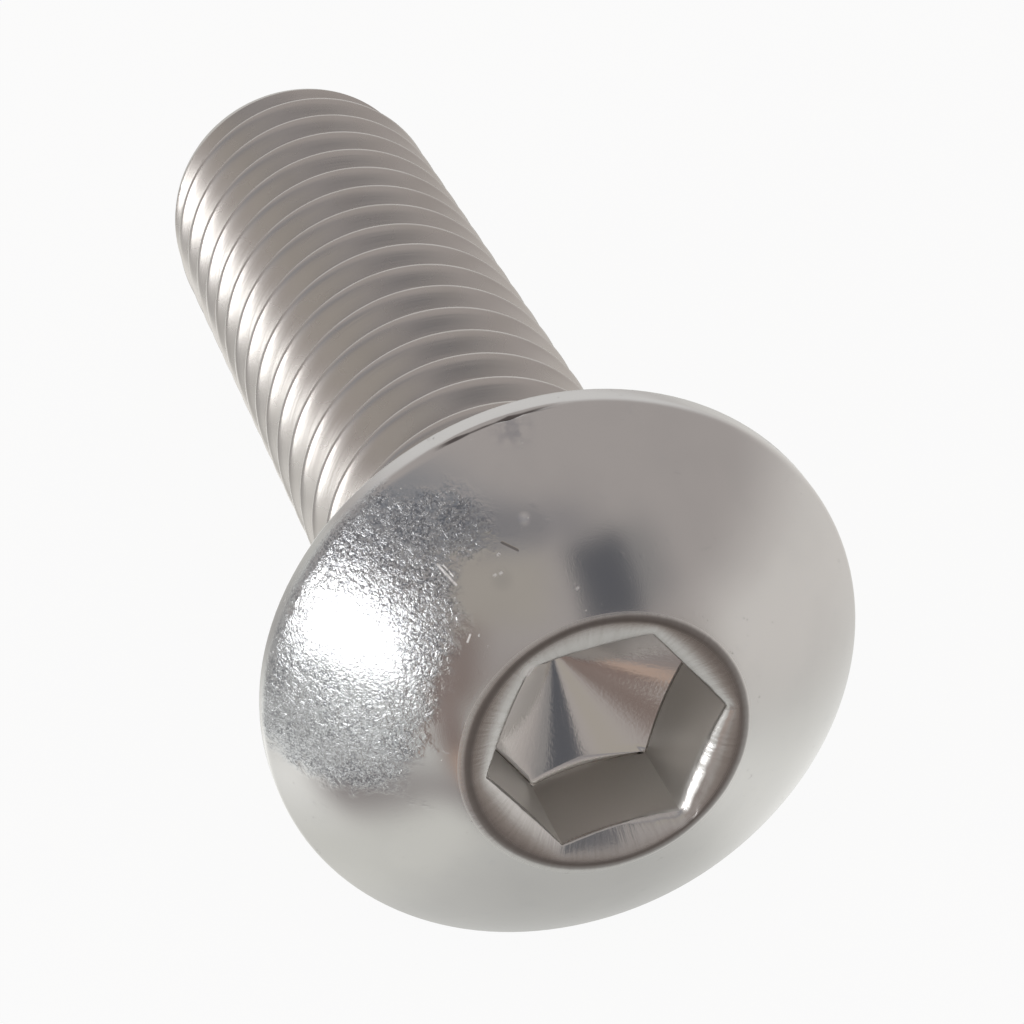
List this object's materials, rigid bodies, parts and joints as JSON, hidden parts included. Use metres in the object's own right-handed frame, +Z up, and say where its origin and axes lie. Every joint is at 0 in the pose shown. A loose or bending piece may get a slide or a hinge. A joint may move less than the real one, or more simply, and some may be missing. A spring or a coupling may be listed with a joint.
{
  "type": "button head screw",
  "caption": "Button head socket screw in bright satin stainless steel, domed head with a hexagon socket and a threaded shank, lying on its side.",
  "frame": {"origin": "centre of the bounding box's bottom, on the surface that the screw lies on", "axes": "+Z up; the screw lies on its head's rim and its tip, with the head facing -Y and the tip at +Y; its own axis rises 6.5 degrees towards the head"},
  "size_m": [0.0164, 0.0366, 0.0163],
  "materials": {
    "stainless_steel": "bright satin stainless steel, with a finely pitted patch and handling marks on the head"
  },
  "bodies": {
    "root": {"screw": "stainless_steel"}
  },
  "joints": []
}
